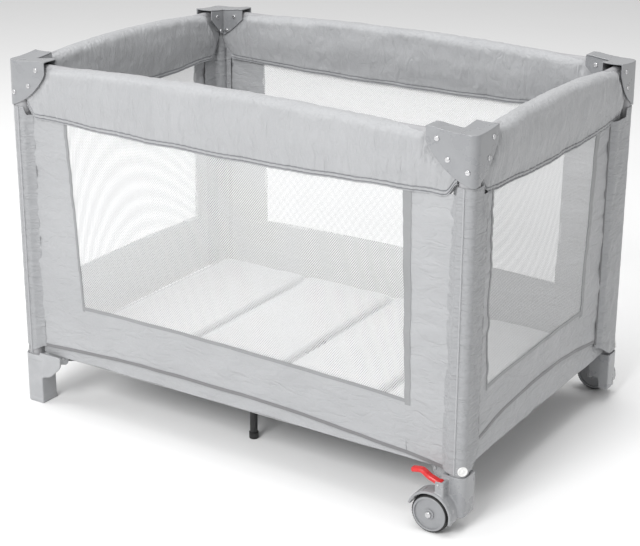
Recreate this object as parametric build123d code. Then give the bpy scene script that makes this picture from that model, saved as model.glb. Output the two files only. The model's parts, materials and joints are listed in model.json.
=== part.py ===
# Travel play yard: four posts, folding top rails, a folding floor frame and a sewn fabric body.
# Millimetres, +Z up. Origin: middle of the yard, on the floor. +X runs along the long side
# towards the end that rolls. Corners are named by their side, as front_left.
from math import atan2, cos, degrees, hypot, radians, sin

from build123d import *
import os

# ---- overall sizes -------------------------------------------------------------------------
frame_length = 1074.0   # over the corner casings, along X
frame_width = 724.0     # over the corner casings, along Y
frame_height = 765.0    # floor to the top of the casings

# ---- posts and corner casings --------------------------------------------------------------
post_size = 34.0        # square steel post
post_wall = 1.0
post_radius = 12.0
post_foot_z = 60.0      # lower end of the post, inside its foot
casing_wall = 3.0
casing_gap = 0.5        # between post and casing
casing_drop = 101.0     # height of the outer shell
casing_reach_x = 100.0  # outer shell along the long side
casing_reach_y = 85.0   # outer shell along the short side
casing_depth_x = 46.0   # across the short side's rail
casing_depth_y = 40.0   # across the long side's rail
rivet_step_x = 22.0     # lower rivets, from the rail pivots towards the corner
rivet_step_y = 14.0
rivet_drop = 35.0
column_radius_top = 17.0
column_radius_bottom = 14.0
dish_depth = 6.0        # hollow in the middle of the casing's top
dish_radius = 400.0
inner_shell_drop = 88.0

# ---- top rails -----------------------------------------------------------------------------
rail_diameter = 22.0
rail_wall = 1.0
rail_z = 745.0
rail_inset_x = 21.0     # short rails' centre line, in from the casing's end face
rail_inset_y = 21.0     # long rails' centre line, in from the casing's side face
rail_pivot_x = 77.0     # long rails' end pivots, in from the casing's end face
rail_pivot_y = 64.0     # short rails' end pivots, in from the casing's side face
end_trim = 0.2          # tube ends are round about their pivots, smaller than the tube by this
latch_half = 50.0       # latch centre to each of its pivots
latch_width = 32.0
latch_below = 17.0      # housing under the rail's centre line
latch_above = 12.0      # and over it
latch_end = 12.0        # housing beyond its pivots
latch_wall = 4.5
latch_floor = 3.0
latch_core = 30.0       # half length of the solid middle
button_length = 24.0
button_width = 14.0
button_height = 12.0
button_stand = 5.0      # below the housing
button_travel = 4.0
button_gap = 0.4

# ---- floor frame ---------------------------------------------------------------------------
strut_diameter = 19.0
strut_wall = 1.0
strut_z = 100.0
foot_pivot_x = 71.0     # strut pivots at the feet, in from the casing's end face
foot_pivot_y = 48.0     # and in from the casing's side face
strut_end_room = 9.0    # kept free past each strut pivot
strut_gap = 0.5         # each side of a tube in its clevis
cheek_wall = 4.0
hub_roof = 3.5
hub_margin = 20.0       # hub beyond the strut pivots
hub_floor_z = 84.0
hub_scallop = 42.0      # cut-outs in the hub's two ends
leg_diameter = 16.0
leg_wall = 1.2
leg_side = 12.0         # each centre leg is this far to its side of the middle
leg_pivot_y = 46.0
leg_foot_y = 245.0
leg_bend_radius = 30.0
leg_tip_diameter = 20.0
leg_tip_height = 14.0
strap_width = 25.0
strap_thickness = 1.5
strap_length = 150.0

# ---- feet, wheels and brakes ---------------------------------------------------------------
foot_size = 46.0
foot_top_z = 112.0
foot_rim = 9.0
caster_floor_z = 31.0
pocket_floor = 6.0      # moulding left under a post's lower end
wheel_radius = 38.0
wheel_width = 24.0
wheel_inset = 56.0      # wheel centre, in from the casing's end face
wheel_gap = 3.0         # casing's side face to the wheel
tyre_thickness = 3.8
hub_cap_radius = 6.0
fender_gap = 3.0
fender_wall = 5.0
fender_tail = 15.0      # degrees below the axle, on the post's side
axle_radius = 4.0
axle_boss = 11.0        # radius of the plate's boss round the axle
lever_width = 14.0
lever_thickness = 9.0
lever_gap = 1.0
lug_wall = 3.0

# ---- fasteners -----------------------------------------------------------------------------
pin_radius = 3.0
pin_fit = 0.05          # radial running clearance
open_fit = 1.0          # radial clearance where the folding loop is left open
head_radius = 5.0
head_height = 2.0
slot_width = 1.4
slot_depth = 0.8

# ---- fabric and mattress -------------------------------------------------------------------
cover_width = 41.0      # padded rail covers
cover_top_z = 766.0
cover_floor_z = 632.0
cover_wall = 2.5
cover_radius = 14.0     # rounded top of the covers
cover_gap = 2.0         # covers to casings and to each other
panel_thickness = 3.0   # side panels
panel_inset = 14.0      # side panels, in from the casings' faces
skirt_end_z = 118.0
skirt_middle_z = 136.0
floor_sheet_z = 114.5
floor_sheet_thickness = 1.5
floor_sheet_gap = 0.4   # between the hub and what lies on it
mattress_z = 118.0
mattress_thickness = 24.0
mattress_length = 980.0
mattress_width = 644.0
mattress_gap = 2.0      # between the folding panels

half_x = frame_length / 2
half_y = frame_width / 2
post_x = half_x - casing_wall - casing_gap - post_size / 2
post_y = half_y - casing_wall - casing_gap - post_size / 2
rail_x = half_x - rail_inset_x
rail_y = half_y - rail_inset_y
pivot_x = half_x - rail_pivot_x
pivot_y = half_y - rail_pivot_y
strut_x = half_x - foot_pivot_x
strut_y = half_y - foot_pivot_y
fold_x = pivot_x - latch_half            # pivot distance of a long half rail
fold_y = pivot_y - latch_half            # pivot distance of a short half rail
strut_angle = degrees(atan2(fold_y, fold_x))
hub_x = strut_x - fold_x                 # strut pivots on the hub
hub_y = strut_y - fold_y
wheel_x = half_x - wheel_inset
wheel_y = half_y + wheel_gap + wheel_width / 2
pin_bore = pin_radius + pin_fit

CORNERS = {
    "front_left": (-1, -1),
    "front_right": (1, -1),
    "rear_left": (-1, 1),
    "rear_right": (1, 1),
}
UP = (Align.CENTER, Align.CENTER, Align.MIN)


def to_corner(shape, corner):
    """A shape drawn at the rear right corner, moved to the named one."""
    sign_x, sign_y = CORNERS[corner]
    if sign_x < 0:
        shape = mirror(shape, about=Plane.YZ)
    if sign_y < 0:
        shape = mirror(shape, about=Plane.XZ)
    return shape


def rod(radius, length, x, y, z, axis):
    """A rod of the given length centred on a point, along X, Y or Z."""
    turn = {"x": (0, 90, 0), "y": (90, 0, 0), "z": (0, 0, 0)}[axis]
    return Location((x, y, z), turn) * Cylinder(radius, length)


def round_ends(tube, start, length, radius):
    """A tube along X whose ends are trimmed round about its two pivots, so that they can turn."""
    keep = Location((start + length / 2, 0, 0)) * Box(length, 4 * radius, 4 * radius)
    for x in (start, start + length):
        keep += rod(radius, 4 * radius, x, 0, 0, "y")
    return tube & keep


def strut_frame(x, y, z=strut_z):
    """A frame on a strut pivot of the rear right corner: its X points along the strut, outwards."""
    return Location((x, y, z), (0, 0, strut_angle))


def block(x0, x1, y0, y1, z0, z1):
    size = (x1 - x0, y1 - y0, z1 - z0)
    middle = ((x0 + x1) / 2, (y0 + y1) / 2, (z0 + z1) / 2)
    return Location(middle) * Box(*size)


def write(name, *solids):
    """One file for each node; a node of several loose pieces is a group."""
    pieces = []
    for shape in solids:
        pieces.extend(shape.solids())
    body = pieces[0] if len(pieces) == 1 else Compound(children=pieces)
    export_step(body, f"parts/{name}.step")


# ---- corner casings ------------------------------------------------------------------------
def casing_outline(inset, column_radius):
    """L-shaped plan of the casing at the rear right corner, with its outer corner rounded."""
    x1 = half_x - inset
    y1 = half_y - inset
    x0 = half_x - casing_reach_x
    y0 = half_y - casing_reach_y
    radius = column_radius - inset
    inner_x = half_x - casing_depth_x
    inner_y = half_y - casing_depth_y
    bend = radius * (1 - sin(radians(45)))
    lines = [
        Line((x0, inner_y), (x0, y1)),
        Line((x0, y1), (x1 - radius, y1)),
        ThreePointArc((x1 - radius, y1), (x1 - bend, y1 - bend), (x1, y1 - radius)),
        Line((x1, y1 - radius), (x1, y0)),
        Line((x1, y0), (inner_x, y0)),
        Line((inner_x, y0), (inner_x, inner_y)),
        Line((inner_x, inner_y), (x0, inner_y)),
    ]
    return make_face(Curve() + lines)


def casing_block(inset, top_z):
    low_z = frame_height - casing_drop
    low = Plane.XY.offset(low_z) * casing_outline(inset, column_radius_bottom)
    high = Plane.XY.offset(top_z) * casing_outline(inset, column_radius_top)
    return loft([low, high])


def wing_profile(reach, drop, end_height, margin=0.0):
    """Side view of a casing wing: u runs from the wing's end (0) to the corner, v is height."""
    top = frame_height + 10 + margin
    tip = frame_height - drop - margin
    shoulder = frame_height - end_height - margin
    bulge = (reach * 0.30, frame_height - drop * 0.64 - margin)
    lines = [
        Line((-margin, shoulder), (-margin, top)),
        Line((-margin, top), (reach + 20, top)),
        Line((reach + 20, top), (reach + 20, tip)),
        Line((reach + 20, tip), (reach - 6, tip)),
        ThreePointArc((reach - 6, tip), bulge, (-margin, shoulder)),
    ]
    return make_face(Curve() + lines)


def wing_keep(reach_x, reach_y, drop, end_height, margin=0.0):
    """What stays of a casing between its two side views."""
    side = wing_profile(reach_x, drop, end_height, margin)
    end = wing_profile(reach_y, drop, end_height, margin)
    along_x = Plane((half_x - reach_x, half_y + 60, 0), x_dir=(1, 0, 0), z_dir=(0, -1, 0))
    along_y = Plane((half_x - 160, half_y - reach_y, 0), x_dir=(0, 1, 0), z_dir=(1, 0, 0))
    return extrude(along_x * side, 220) & extrude(along_y * end, 220)


def dish(extra=0.0):
    middle = (post_x, post_y, frame_height - dish_depth + dish_radius)
    return Location(middle) * Sphere(dish_radius + extra)


def rivet_places(corner):
    """Where the rivets go through a casing: (kind, x, y, z)."""
    low = rail_z - rivet_drop
    return [
        ("y", pivot_x, rail_y, rail_z),
        ("y", pivot_x + rivet_step_x, rail_y, low),
        ("x", rail_x, pivot_y, rail_z),
        ("x", rail_x, pivot_y + rivet_step_y, low),
    ]


def column_rivet_place():
    return (post_x + 5, half_y, frame_height - 72)


def corner_outer(corner):
    shell = casing_block(0.0, frame_height) - dish()
    cavity = casing_block(casing_wall, frame_height) - dish(casing_wall)
    cavity = cavity & block(0, half_x, 0, half_y, 0, frame_height - casing_wall)
    inner_cut = block(half_x - casing_reach_x - 1, half_x - casing_wall - column_radius_top,
                      half_y - casing_depth_y - 1, half_y - casing_wall,
                      frame_height - casing_drop - 1, frame_height - casing_wall - dish_depth)
    shell = (shell - cavity - inner_cut) & wing_keep(casing_reach_x, casing_reach_y,
                                                      casing_drop, 27)
    for kind, x, y, z in rivet_places(corner):
        shell = shell - rod(pin_bore, 200, x, y, z, kind).intersect(
            block(x - 3.2, half_x + 1, y - 3.2, half_y + 1, z - 4, z + 4))
    x, y, z = column_rivet_place()
    return shell - rod(pin_bore, 30, x, y, z, "y")


def corner_inner(corner):
    x0 = half_x - casing_reach_x
    y0 = half_y - casing_reach_y
    x1 = half_x - casing_depth_x
    y1 = half_y - casing_depth_y
    low_z = frame_height - inner_shell_drop
    top_z = frame_height - casing_wall - 0.3
    solid = block(x0, x1 + casing_wall, y1, y1 + casing_wall, low_z, top_z)
    solid += block(x1, x1 + casing_wall, y0, y1 + casing_wall, low_z, top_z)
    solid = solid & wing_keep(casing_reach_x - 12, casing_reach_y - 12, inner_shell_drop, 24,
                              margin=12.0).moved(Location((0, 0, 12)))
    solid = solid - dish(casing_wall + 0.3)
    for kind, x, y, z in rivet_places(corner):
        solid = solid - rod(pin_bore, 90, x, y, z, kind)
    return solid


def head(radius=head_radius, height=head_height):
    """A low domed head with a driver slot, its base on XY."""
    dome = Cylinder(radius, height, align=UP)
    dome = fillet(dome.edges().group_by(Axis.Z)[-1], height * 0.7)
    return dome - Location((0, 0, height)) * Box(radius * 2, slot_width, slot_depth * 2)


def through_rivet(kind, x, y, z):
    """Shank and two heads through both shells of a casing."""
    if kind == "y":
        low, high, turn = half_y - casing_depth_y, half_y, (-90, 0, 0)
        shank = rod(pin_radius, high - low, x, (low + high) / 2, z, "y")
        outer, inner = (x, high, z), (x, low, z)
        back = (90, 0, 0)
    else:
        low, high, turn = half_x - casing_depth_x, half_x, (0, 90, 0)
        shank = rod(pin_radius, high - low, (low + high) / 2, y, z, "x")
        outer, inner = (high, y, z), (low, y, z)
        back = (0, -90, 0)
    return shank + Location(outer, turn) * head() + Location(inner, back) * head()


def corner_fasteners(corner):
    pieces = [through_rivet(*place) for place in rivet_places(corner)]
    x, y, z = column_rivet_place()
    length = casing_wall + casing_gap + post_wall
    pieces.append(rod(pin_radius, length, x, y - length / 2, z, "y")
                  + Location((x, y, z), (-90, 0, 0)) * head())
    pin_length = strut_diameter + 2 * strut_gap + 2 * cheek_wall + 1
    pieces.append(strut_frame(strut_x, strut_y) * rod(pin_radius, pin_length, 0, 0, 0, "y"))
    if CORNERS[corner][0] > 0:
        reach = wheel_y + wheel_width / 2 + 1.5 - (half_y - 6)
        axle = rod(axle_radius, reach, wheel_x, half_y - 6 + reach / 2, wheel_radius, "y")
        cap = Location((wheel_x, half_y - 6 + reach, wheel_radius), (-90, 0, 0)) * Cylinder(
            hub_cap_radius, 2.5, align=UP)
        pieces.append(axle + fillet(cap.edges().group_by(Axis.Y)[-1], 1.2))
        lever_x, lever_y, lever_z = lever_pivot()
        span = lever_width + 2 * lever_gap + 2 * lug_wall
        pieces.append(rod(pin_radius - 1, span, lever_x, lever_y, lever_z, "y"))
    return [to_corner(piece, corner) for piece in pieces]


# ---- posts, feet and casters ---------------------------------------------------------------
def post(corner):
    height = frame_height - casing_wall - dish_depth - casing_gap - post_foot_z
    outer = extrude(RectangleRounded(post_size, post_size, post_radius), height)
    core = post_size - 2 * post_wall
    inner = extrude(RectangleRounded(core, core, post_radius - post_wall), height)
    tube = Location((post_x, post_y, post_foot_z)) * (outer - inner)
    x, y, z = column_rivet_place()
    tube = tube - rod(pin_bore, 12, x, y - casing_wall, z, "y")
    return to_corner(tube, corner)


def clevis():
    """Two cheeks beside the strut's end, at the rear right corner."""
    width = strut_diameter + 2 * strut_gap + 2 * cheek_wall
    low = -strut_diameter / 2 - 5
    body = Location((2, 0, low)) * Box(26, width, strut_diameter + 8, align=UP)
    body = fillet(body.edges().filter_by(Axis.Y).group_by(Axis.X)[0], 9)
    slot = Location((-4, 0, low - 1)) * Box(44, strut_diameter + 2 * strut_gap,
                                           strut_diameter + 30, align=UP)
    body = body - slot - rod(pin_bore, width + 2, 0, 0, 0, "y")
    return strut_frame(strut_x, strut_y) * body


def post_pocket():
    """Room for a post's lower end."""
    fit = post_size + 2 * casing_gap
    pocket = extrude(RectangleRounded(fit, fit, post_radius + casing_gap), 100)
    return Location((post_x, post_y, post_foot_z)) * pocket


def socket(floor_z):
    """The moulded block that holds a post's lower end, with the strut's clevis."""
    x1 = half_x
    y1 = half_y
    body = block(x1 - foot_size, x1, y1 - foot_size, y1, floor_z, foot_top_z)
    outer_edge = body.edges().filter_by(Axis.Z).sort_by(lambda e: -(e @ 0).X - (e @ 0).Y)[0]
    body = fillet(outer_edge, post_radius + 2)
    neck = strut_frame(strut_x, strut_y) * Location((24, 0, 1)) * Box(
        22, strut_diameter + 2 * strut_gap + 2 * cheek_wall, strut_diameter + 4)
    body += neck & block(strut_x, x1 - 10, 0, y1 - 4, 0, foot_top_z)
    body = body + clevis()
    sweep_room = strut_frame(strut_x, strut_y) * Location((-3, 0, 2)) * Box(
        2 * strut_end_room + 14, strut_diameter + 2 * strut_gap, 60)
    return body - sweep_room


def ear_plate():
    """The S-shaped gusset beside a foot, flush with the long side's face."""
    x0 = half_x - 100
    x1 = half_x - foot_size + 4
    top = foot_top_z + 6
    lines = [
        Line((x1, 50), (x1, top)),
        Line((x1, top), (x0 + 6, top)),
        ThreePointArc((x0 + 6, top), (x0 + 1.8, top - 1.8), (x0, top - 6)),
        Line((x0, top - 6), (x0, top - 16)),
        Spline((x0, top - 16), (x0 + 16, top - 38), (x0 + 34, top - 52), (x1, 50),
               tangents=[(0.2, -1), (0.05, -1)]),
    ]
    plane = Plane((0, half_y - 1, 0), x_dir=(1, 0, 0), z_dir=(0, -1, 0))
    return extrude(plane * make_face(Curve() + lines), 5)


def foot(corner):
    body = socket(0.0) + ear_plate()
    rim = block(half_x - foot_size - 1, half_x, half_y - foot_size - 1, half_y, 0, foot_rim)
    rim_edge = rim.edges().filter_by(Axis.Z).sort_by(lambda e: -(e @ 0).X - (e @ 0).Y)[0]
    body = body + fillet(rim_edge, post_radius + 2)
    waist = block(half_x - foot_size - 2, half_x + 1, half_y - foot_size - 2, half_y + 1,
                  foot_rim, foot_top_z - 12)
    keep = block(half_x - foot_size - 60, half_x - 1.5, half_y - foot_size - 60, half_y - 1.5,
                 foot_rim, foot_top_z - 12)
    return to_corner(body - (waist - keep) - post_pocket(), corner)


def fender():
    """Mudguard over the wheel, open below and on its outer side, with the plate behind."""
    inner = wheel_radius + fender_gap
    outer = inner + fender_wall
    length = wheel_width + wheel_gap + 2
    y1 = wheel_y + wheel_width / 2 + 1
    middle = y1 - length / 2
    ring = rod(outer, length, wheel_x, middle, wheel_radius, "y")
    ring = ring - rod(inner, length + 2, wheel_x, middle, wheel_radius, "y")
    plate = rod(outer, 5.5, wheel_x, half_y - 2.75, wheel_radius, "y")
    plate = plate & block(wheel_x - outer, wheel_x + outer, half_y - 6, half_y,
                          wheel_radius + fender_wall, 2 * outer)
    plate += rod(axle_boss, 5.5, wheel_x, half_y - 2.75, wheel_radius, "y")
    cut = block(wheel_x - 80, wheel_x + 80, half_y - 20, y1 + 20, -80, wheel_radius)
    tilt = Location((wheel_x, 0, wheel_radius)) * Location((0, 0, 0), (0, fender_tail, 0))
    cut = tilt * Location((-wheel_x, 0, -wheel_radius)) * cut
    return (ring - cut) + plate


def lever_pivot():
    return (half_x - 42, half_y + lug_wall + lever_gap + lever_width / 2, 100.0)


def lever_lugs():
    x, y, z = lever_pivot()
    lugs = []
    for side in (-1, 1):
        middle = y + side * (lever_width / 2 + lever_gap + lug_wall / 2)
        cheek = block(x - 6, x + 12, middle - lug_wall / 2, middle + lug_wall / 2, 72, z + 6)
        lugs.append(cheek)
    bridge = block(x + 6, x + 12, y - lever_width / 2 - lever_gap - lug_wall,
                   y + lever_width / 2 + lever_gap + lug_wall, 72, z + 6)
    lugs = lugs[0] + lugs[1] + bridge
    return lugs - rod(pin_radius - 1 + pin_fit, 60, x, y, z, "y")


def caster_housing(corner):
    wheel_room = rod(wheel_radius + fender_gap, wheel_width + 12, wheel_x,
                     half_y + 0.3 + (wheel_width + 12) / 2, wheel_radius, "y")
    # the block is hollowed beside the wheel, under the post's floor
    hollow = rod(wheel_radius - 3, 2 * foot_size, wheel_x, half_y - foot_size, wheel_radius, "y")
    hollow = hollow & block(0, half_x, 0, half_y + 1, 0, post_foot_z - pocket_floor)
    body = (socket(caster_floor_z) - hollow) + fender() + (lever_lugs() - wheel_room)
    body = body - rod(axle_radius + pin_fit, 12, wheel_x, half_y - 2, wheel_radius, "y")
    return to_corner(body - post_pocket(), corner)


def wheel_tyre(corner):
    ring = rod(wheel_radius, wheel_width - 2, wheel_x, wheel_y, wheel_radius, "y")
    ring = fillet(ring.edges(), 4)
    ring = ring - rod(wheel_radius - tyre_thickness, wheel_width, wheel_x, wheel_y,
                      wheel_radius, "y")
    return to_corner(ring, corner)


def wheel_rim(corner):
    radius = wheel_radius - tyre_thickness
    disc = rod(radius, wheel_width, wheel_x, wheel_y, wheel_radius, "y")
    disc = chamfer(disc.edges(), 1)
    for side in (-1, 1):
        face = wheel_y + side * wheel_width / 2
        recess = rod(radius - 4, 6, wheel_x, face, wheel_radius, "y")
        boss = rod(hub_cap_radius + 4, 7, wheel_x, face, wheel_radius, "y")
        disc = disc - (recess - boss)
    disc = disc - rod(axle_radius + pin_fit, wheel_width + 4, wheel_x, wheel_y,
                      wheel_radius, "y")
    return to_corner(disc, corner)


def brake_lever(corner):
    """Pedal on top of the mudguard: up is free, down is locked."""
    x, y, z = lever_pivot()
    route = [(x, z), (x - 22, z + 7), (x - 38, z + 17), (x - 58, z + 13)]
    path = FilletPolyline(*[Vector(u, y, v) for u, v in route], radius=14)
    start = Plane(origin=path @ 0, z_dir=path % 0, x_dir=(0, 1, 0))
    arm = sweep(start * RectangleRounded(lever_width, lever_thickness, 3), path=path)
    eye = rod(lever_thickness / 2 + 1, lever_width, x, y, z, "y")
    arm = arm + eye - rod(pin_radius - 1 + pin_fit, 40, x, y, z, "y")
    return to_corner(arm, corner)


# ---- top rails -----------------------------------------------------------------------------
def half_rail(length, open_end):
    """A half rail along +X from its casing pivot at the origin to its latch pivot."""
    total = length + rail_diameter
    middle = length / 2
    tube = rod(rail_diameter / 2, total, middle, 0, 0, "x")
    tube = tube - rod(rail_diameter / 2 - rail_wall, total + 2, middle, 0, 0, "x")
    casing_bore = pin_radius + (open_fit if open_end else pin_fit)
    tube = tube - rod(casing_bore, 40, 0, 0, 0, "y") - rod(pin_bore, 40, length, 0, 0, "y")
    return round_ends(tube, 0, length, rail_diameter / 2 - end_trim)


def latch():
    """Middle latch of a rail along X: a channel that each half folds up out of."""
    length = 2 * (latch_half + latch_end)
    low = -latch_below
    body = Location((0, 0, low)) * Box(length, latch_width, latch_below + latch_above, align=UP)
    body = fillet(body.edges().filter_by(Axis.X).group_by(Axis.Z)[0], 5)
    gap = latch_width - 2 * latch_wall
    for side in (-1, 1):
        room = Location((side * (latch_core + 60), 0, low + latch_floor)) * Box(
            120, gap, 3 * latch_below, align=UP)
        body = body - room - rod(pin_bore, 60, side * latch_half, 0, 0, "y")
    chamber = Location((0, 0, low - 1)) * Box(
        button_length + 2 * button_gap, button_width + 2 * button_gap,
        button_height - button_stand + button_travel + 2, align=UP)
    pins = [rod(pin_radius, latch_width, side * latch_half, 0, 0, "y") for side in (-1, 1)]
    return [body - chamber] + pins


def latch_button():
    low = -latch_below - button_stand
    body = Location((0, 0, low)) * Box(button_length, button_width, button_height, align=UP)
    return fillet(body.edges().group_by(Axis.Z)[0], 2)


def rail_sides():
    """Each rail: its middle's place, its turn, its half length and its two casings."""
    return {
        "front": ((0, -rail_y, rail_z), 0, pivot_x, ("left", "right")),
        "rear": ((0, rail_y, rail_z), 0, pivot_x, ("left", "right")),
        "left": ((-rail_x, 0, rail_z), 90, pivot_y, ("front", "rear")),
        "right": ((rail_x, 0, rail_z), 90, pivot_y, ("front", "rear")),
    }


# the half whose casing pivot is left open, so that the folding loop can close
OPEN_PIVOTS = {"front": "right", "rear": "right", "left": "front", "right": "rear"}


def build_rails():
    for side, (middle, turn, reach, ends) in rail_sides().items():
        place = Location(middle, (0, 0, turn))
        for sign, end in zip((-1, 1), ends):
            flip = Location((sign * reach, 0, 0), (0, 0, 0 if sign < 0 else 180))
            tube = half_rail(reach - latch_half, OPEN_PIVOTS[side] == end)
            write(f"rail_{side}_{end}", place * flip * tube)
        write(f"rail_latch_{side}", *[place * piece for piece in latch()])
        write(f"latch_button_{side}", place * latch_button())


# ---- floor frame ---------------------------------------------------------------------------
def strut(corner):
    length = hypot(fold_x, fold_y)
    total = length + strut_diameter
    tube = rod(strut_diameter / 2, total, -length / 2, 0, 0, "x")
    tube = tube - rod(strut_diameter / 2 - strut_wall, total + 2, -length / 2, 0, 0, "x")
    for x in (0, -length):
        tube = tube - rod(pin_bore, 40, x, 0, 0, "y")
    tube = round_ends(tube, -length, length, strut_diameter / 2 - end_trim)
    return to_corner(strut_frame(strut_x, strut_y) * tube, corner)


def hub_half_sizes():
    return hub_x + hub_margin + 6, hub_y + hub_margin


def hub_top_z():
    return strut_z + strut_diameter / 2 + strut_gap + hub_roof


def hub():
    size_x, size_y = hub_half_sizes()
    height = hub_top_z() - hub_floor_z
    body = Location((0, 0, hub_floor_z)) * extrude(
        RectangleRounded(2 * size_x, 2 * size_y, 22), height)
    body = chamfer(body.edges().group_by(Axis.Z)[-1], 1.5)
    room_height = height - hub_roof
    for side in (-1, 1):
        scallop = Location((side * (size_x + 14), 0, hub_floor_z - 1)) * Cylinder(
            hub_scallop, height + 2, align=UP)
        body = body - scallop
    for corner in CORNERS:
        slot = strut_frame(hub_x, hub_y, hub_floor_z) * Location((-strut_end_room - 3, 0, 0)) * Box(
            90, strut_diameter + 2 * strut_gap, room_height,
            align=(Align.MIN, Align.CENTER, Align.MIN))
        slot += strut_frame(hub_x, hub_y) * rod(pin_bore, strut_diameter + 2 * cheek_wall + 8,
                                                0, 0, 0, "y")
        body = body - to_corner(slot, corner)
    for sign in (-1, 1):
        y0 = leg_pivot_y - leg_diameter / 2 - 4
        slot = block(leg_side - leg_diameter / 2 - strut_gap, leg_side + leg_diameter / 2 + strut_gap,
                     y0, y0 + 200, hub_floor_z - 1, hub_floor_z + room_height)
        slot += rod(pin_bore, leg_diameter + 2 * cheek_wall + 6, leg_side, leg_pivot_y, strut_z, "x")
        body = body - Rotation(0, 0, 0 if sign > 0 else 180) * slot
    opening = Location((0, 0, hub_floor_z - 1)) * Box(46, 30, room_height - 3, align=UP)
    return body - opening


def hub_pins():
    pins = []
    for corner in CORNERS:
        pin = strut_frame(hub_x, hub_y) * rod(pin_radius, strut_diameter + 2 * cheek_wall + 6,
                                              0, 0, 0, "y")
        pins.append(to_corner(pin, corner))
    leg_pin = rod(pin_radius, leg_diameter + 2 * cheek_wall + 4, leg_side, leg_pivot_y, strut_z, "x")
    pins.append(leg_pin)
    pins.append(Rotation(0, 0, 180) * leg_pin)
    return pins


def centre_leg(sign):
    """A bent tube from the hub to the floor, with its tip."""
    y0 = leg_pivot_y - leg_diameter / 2
    route = [Vector(leg_side, y0, strut_z), Vector(leg_side, leg_foot_y, strut_z),
             Vector(leg_side, leg_foot_y, 4)]
    path = FilletPolyline(*route, radius=leg_bend_radius)
    start = Plane(origin=path @ 0, z_dir=path % 0)
    ring = Circle(leg_diameter / 2) - Circle(leg_diameter / 2 - leg_wall)
    tube = sweep(start * ring, path=path)
    tube = tube - rod(pin_bore, 40, leg_side, leg_pivot_y, strut_z, "x")
    end = block(leg_side - leg_diameter, leg_side + leg_diameter, 0, leg_pivot_y, 0, hub_top_z())
    tube = tube - (end - rod(leg_diameter / 2 - end_trim, 40, leg_side, leg_pivot_y, strut_z, "x"))
    tip = Location((leg_side, leg_foot_y, 0)) * Cylinder(leg_tip_diameter / 2, leg_tip_height,
                                                         align=UP)
    tip = fillet(tip.edges().group_by(Axis.Z)[0], 2)
    tip = tip - Location((leg_side, leg_foot_y, 4)) * Cylinder(leg_diameter / 2, 40, align=UP)
    turn = Rotation(0, 0, 0 if sign > 0 else 180)
    return [turn * tube, turn * tip]


def lift_strap():
    """The loop that is pulled to fold the floor frame, lying flat on the hub's top."""
    low = hub_top_z() + floor_sheet_gap
    outer = RectangleRounded(strap_length, strap_width * 2 + 20, 20)
    inner = RectangleRounded(strap_length - 2 * strap_width, 20, 8)
    return Location((0, 0, low)) * extrude(outer - inner, strap_thickness)


# ---- fabric and mattress -------------------------------------------------------------------
def side_fabric(length, outer, wing_reach, end_gap):
    """Padded rail cover and side panel in one sewn piece, along X, at y = outer (its face)."""
    inside = outer - cover_width
    reach = length / 2 - end_gap
    cover = block(-reach, reach, inside, outer, cover_floor_z, cover_top_z)
    cover = fillet(cover.edges().filter_by(Axis.X).group_by(Axis.Z)[-1], cover_radius)
    hollow = block(-reach - 1, reach + 1, inside + cover_wall, outer - cover_wall,
                   cover_floor_z + cover_wall, cover_top_z - cover_wall)
    hollow_edges = hollow.edges().filter_by(Axis.X).group_by(Axis.Z)[-1]
    cover = cover - fillet(hollow_edges, cover_radius - cover_wall)
    profile = wing_profile(wing_reach, casing_drop, 27, margin=cover_gap)
    for sign in (-1, 1):
        plane = Plane((sign * (length / 2 - wing_reach), outer + 40, 0), x_dir=(sign, 0, 0),
                      z_dir=(0, -sign, 0) if sign > 0 else (0, 1, 0))
        depth = 200 if sign > 0 else -200
        cover = cover - extrude(plane * profile, depth)
    return cover


def panel(length, face, end_gap):
    reach = length / 2 - end_gap
    arch = ThreePointArc((-reach, skirt_end_z), (0, skirt_middle_z), (reach, skirt_end_z))
    lines = [
        arch,
        Line((reach, skirt_end_z), (reach, cover_floor_z)),
        Line((reach, cover_floor_z), (-reach, cover_floor_z)),
        Line((-reach, cover_floor_z), (-reach, skirt_end_z)),
    ]
    plane = Plane((0, face, 0), x_dir=(1, 0, 0), z_dir=(0, -1, 0))
    return extrude(plane * make_face(Curve() + lines), panel_thickness)


def side_long():
    end_gap = half_x - (post_x - post_size / 2) + 1.5
    cover = side_fabric(frame_length, rail_y + cover_width / 2, casing_reach_x, end_gap + 1)
    return cover + panel(frame_length, half_y - panel_inset, end_gap)


def side_short():
    long_cover_inner = rail_y - cover_width / 2
    end_gap = half_y - (post_y - post_size / 2) + 1.5
    cover = side_fabric(frame_width, rail_x + cover_width / 2, casing_reach_y,
                        half_y - long_cover_inner + cover_gap)
    wall = panel(frame_width, half_x - panel_inset, end_gap)
    return cover + wall


def floor_sheet():
    """The sewn floor of the fabric body, cut away at the posts and for the strap."""
    reach_x = half_x - panel_inset - panel_thickness - 1
    reach_y = half_y - panel_inset - panel_thickness - 1
    sheet = Location((0, 0, floor_sheet_z)) * Box(2 * reach_x, 2 * reach_y, floor_sheet_thickness,
                                                 align=UP)
    notch_x = half_x - (post_x - post_size / 2) + 14
    notch_y = half_y - (post_y - post_size / 2) + 14
    notch = block(half_x - notch_x, half_x, half_y - notch_y, half_y, 0, frame_height)
    for corner in CORNERS:
        sheet = sheet - to_corner(notch, corner)
    hole_x = strap_length / 2 + 6
    hole_y = strap_width + 16
    return sheet - Location((0, 0, floor_sheet_z - 1)) * Box(2 * hole_x, 2 * hole_y, 5, align=UP)


def mattress_panel(index):
    pitch = mattress_length / 4
    width = pitch - mattress_gap
    x = -mattress_length / 2 + pitch * (index + 0.5)
    body = Location((x, 0, mattress_z)) * Box(width, mattress_width, mattress_thickness, align=UP)
    return fillet(body.edges().filter_by(Axis.Z), 6)


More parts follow.
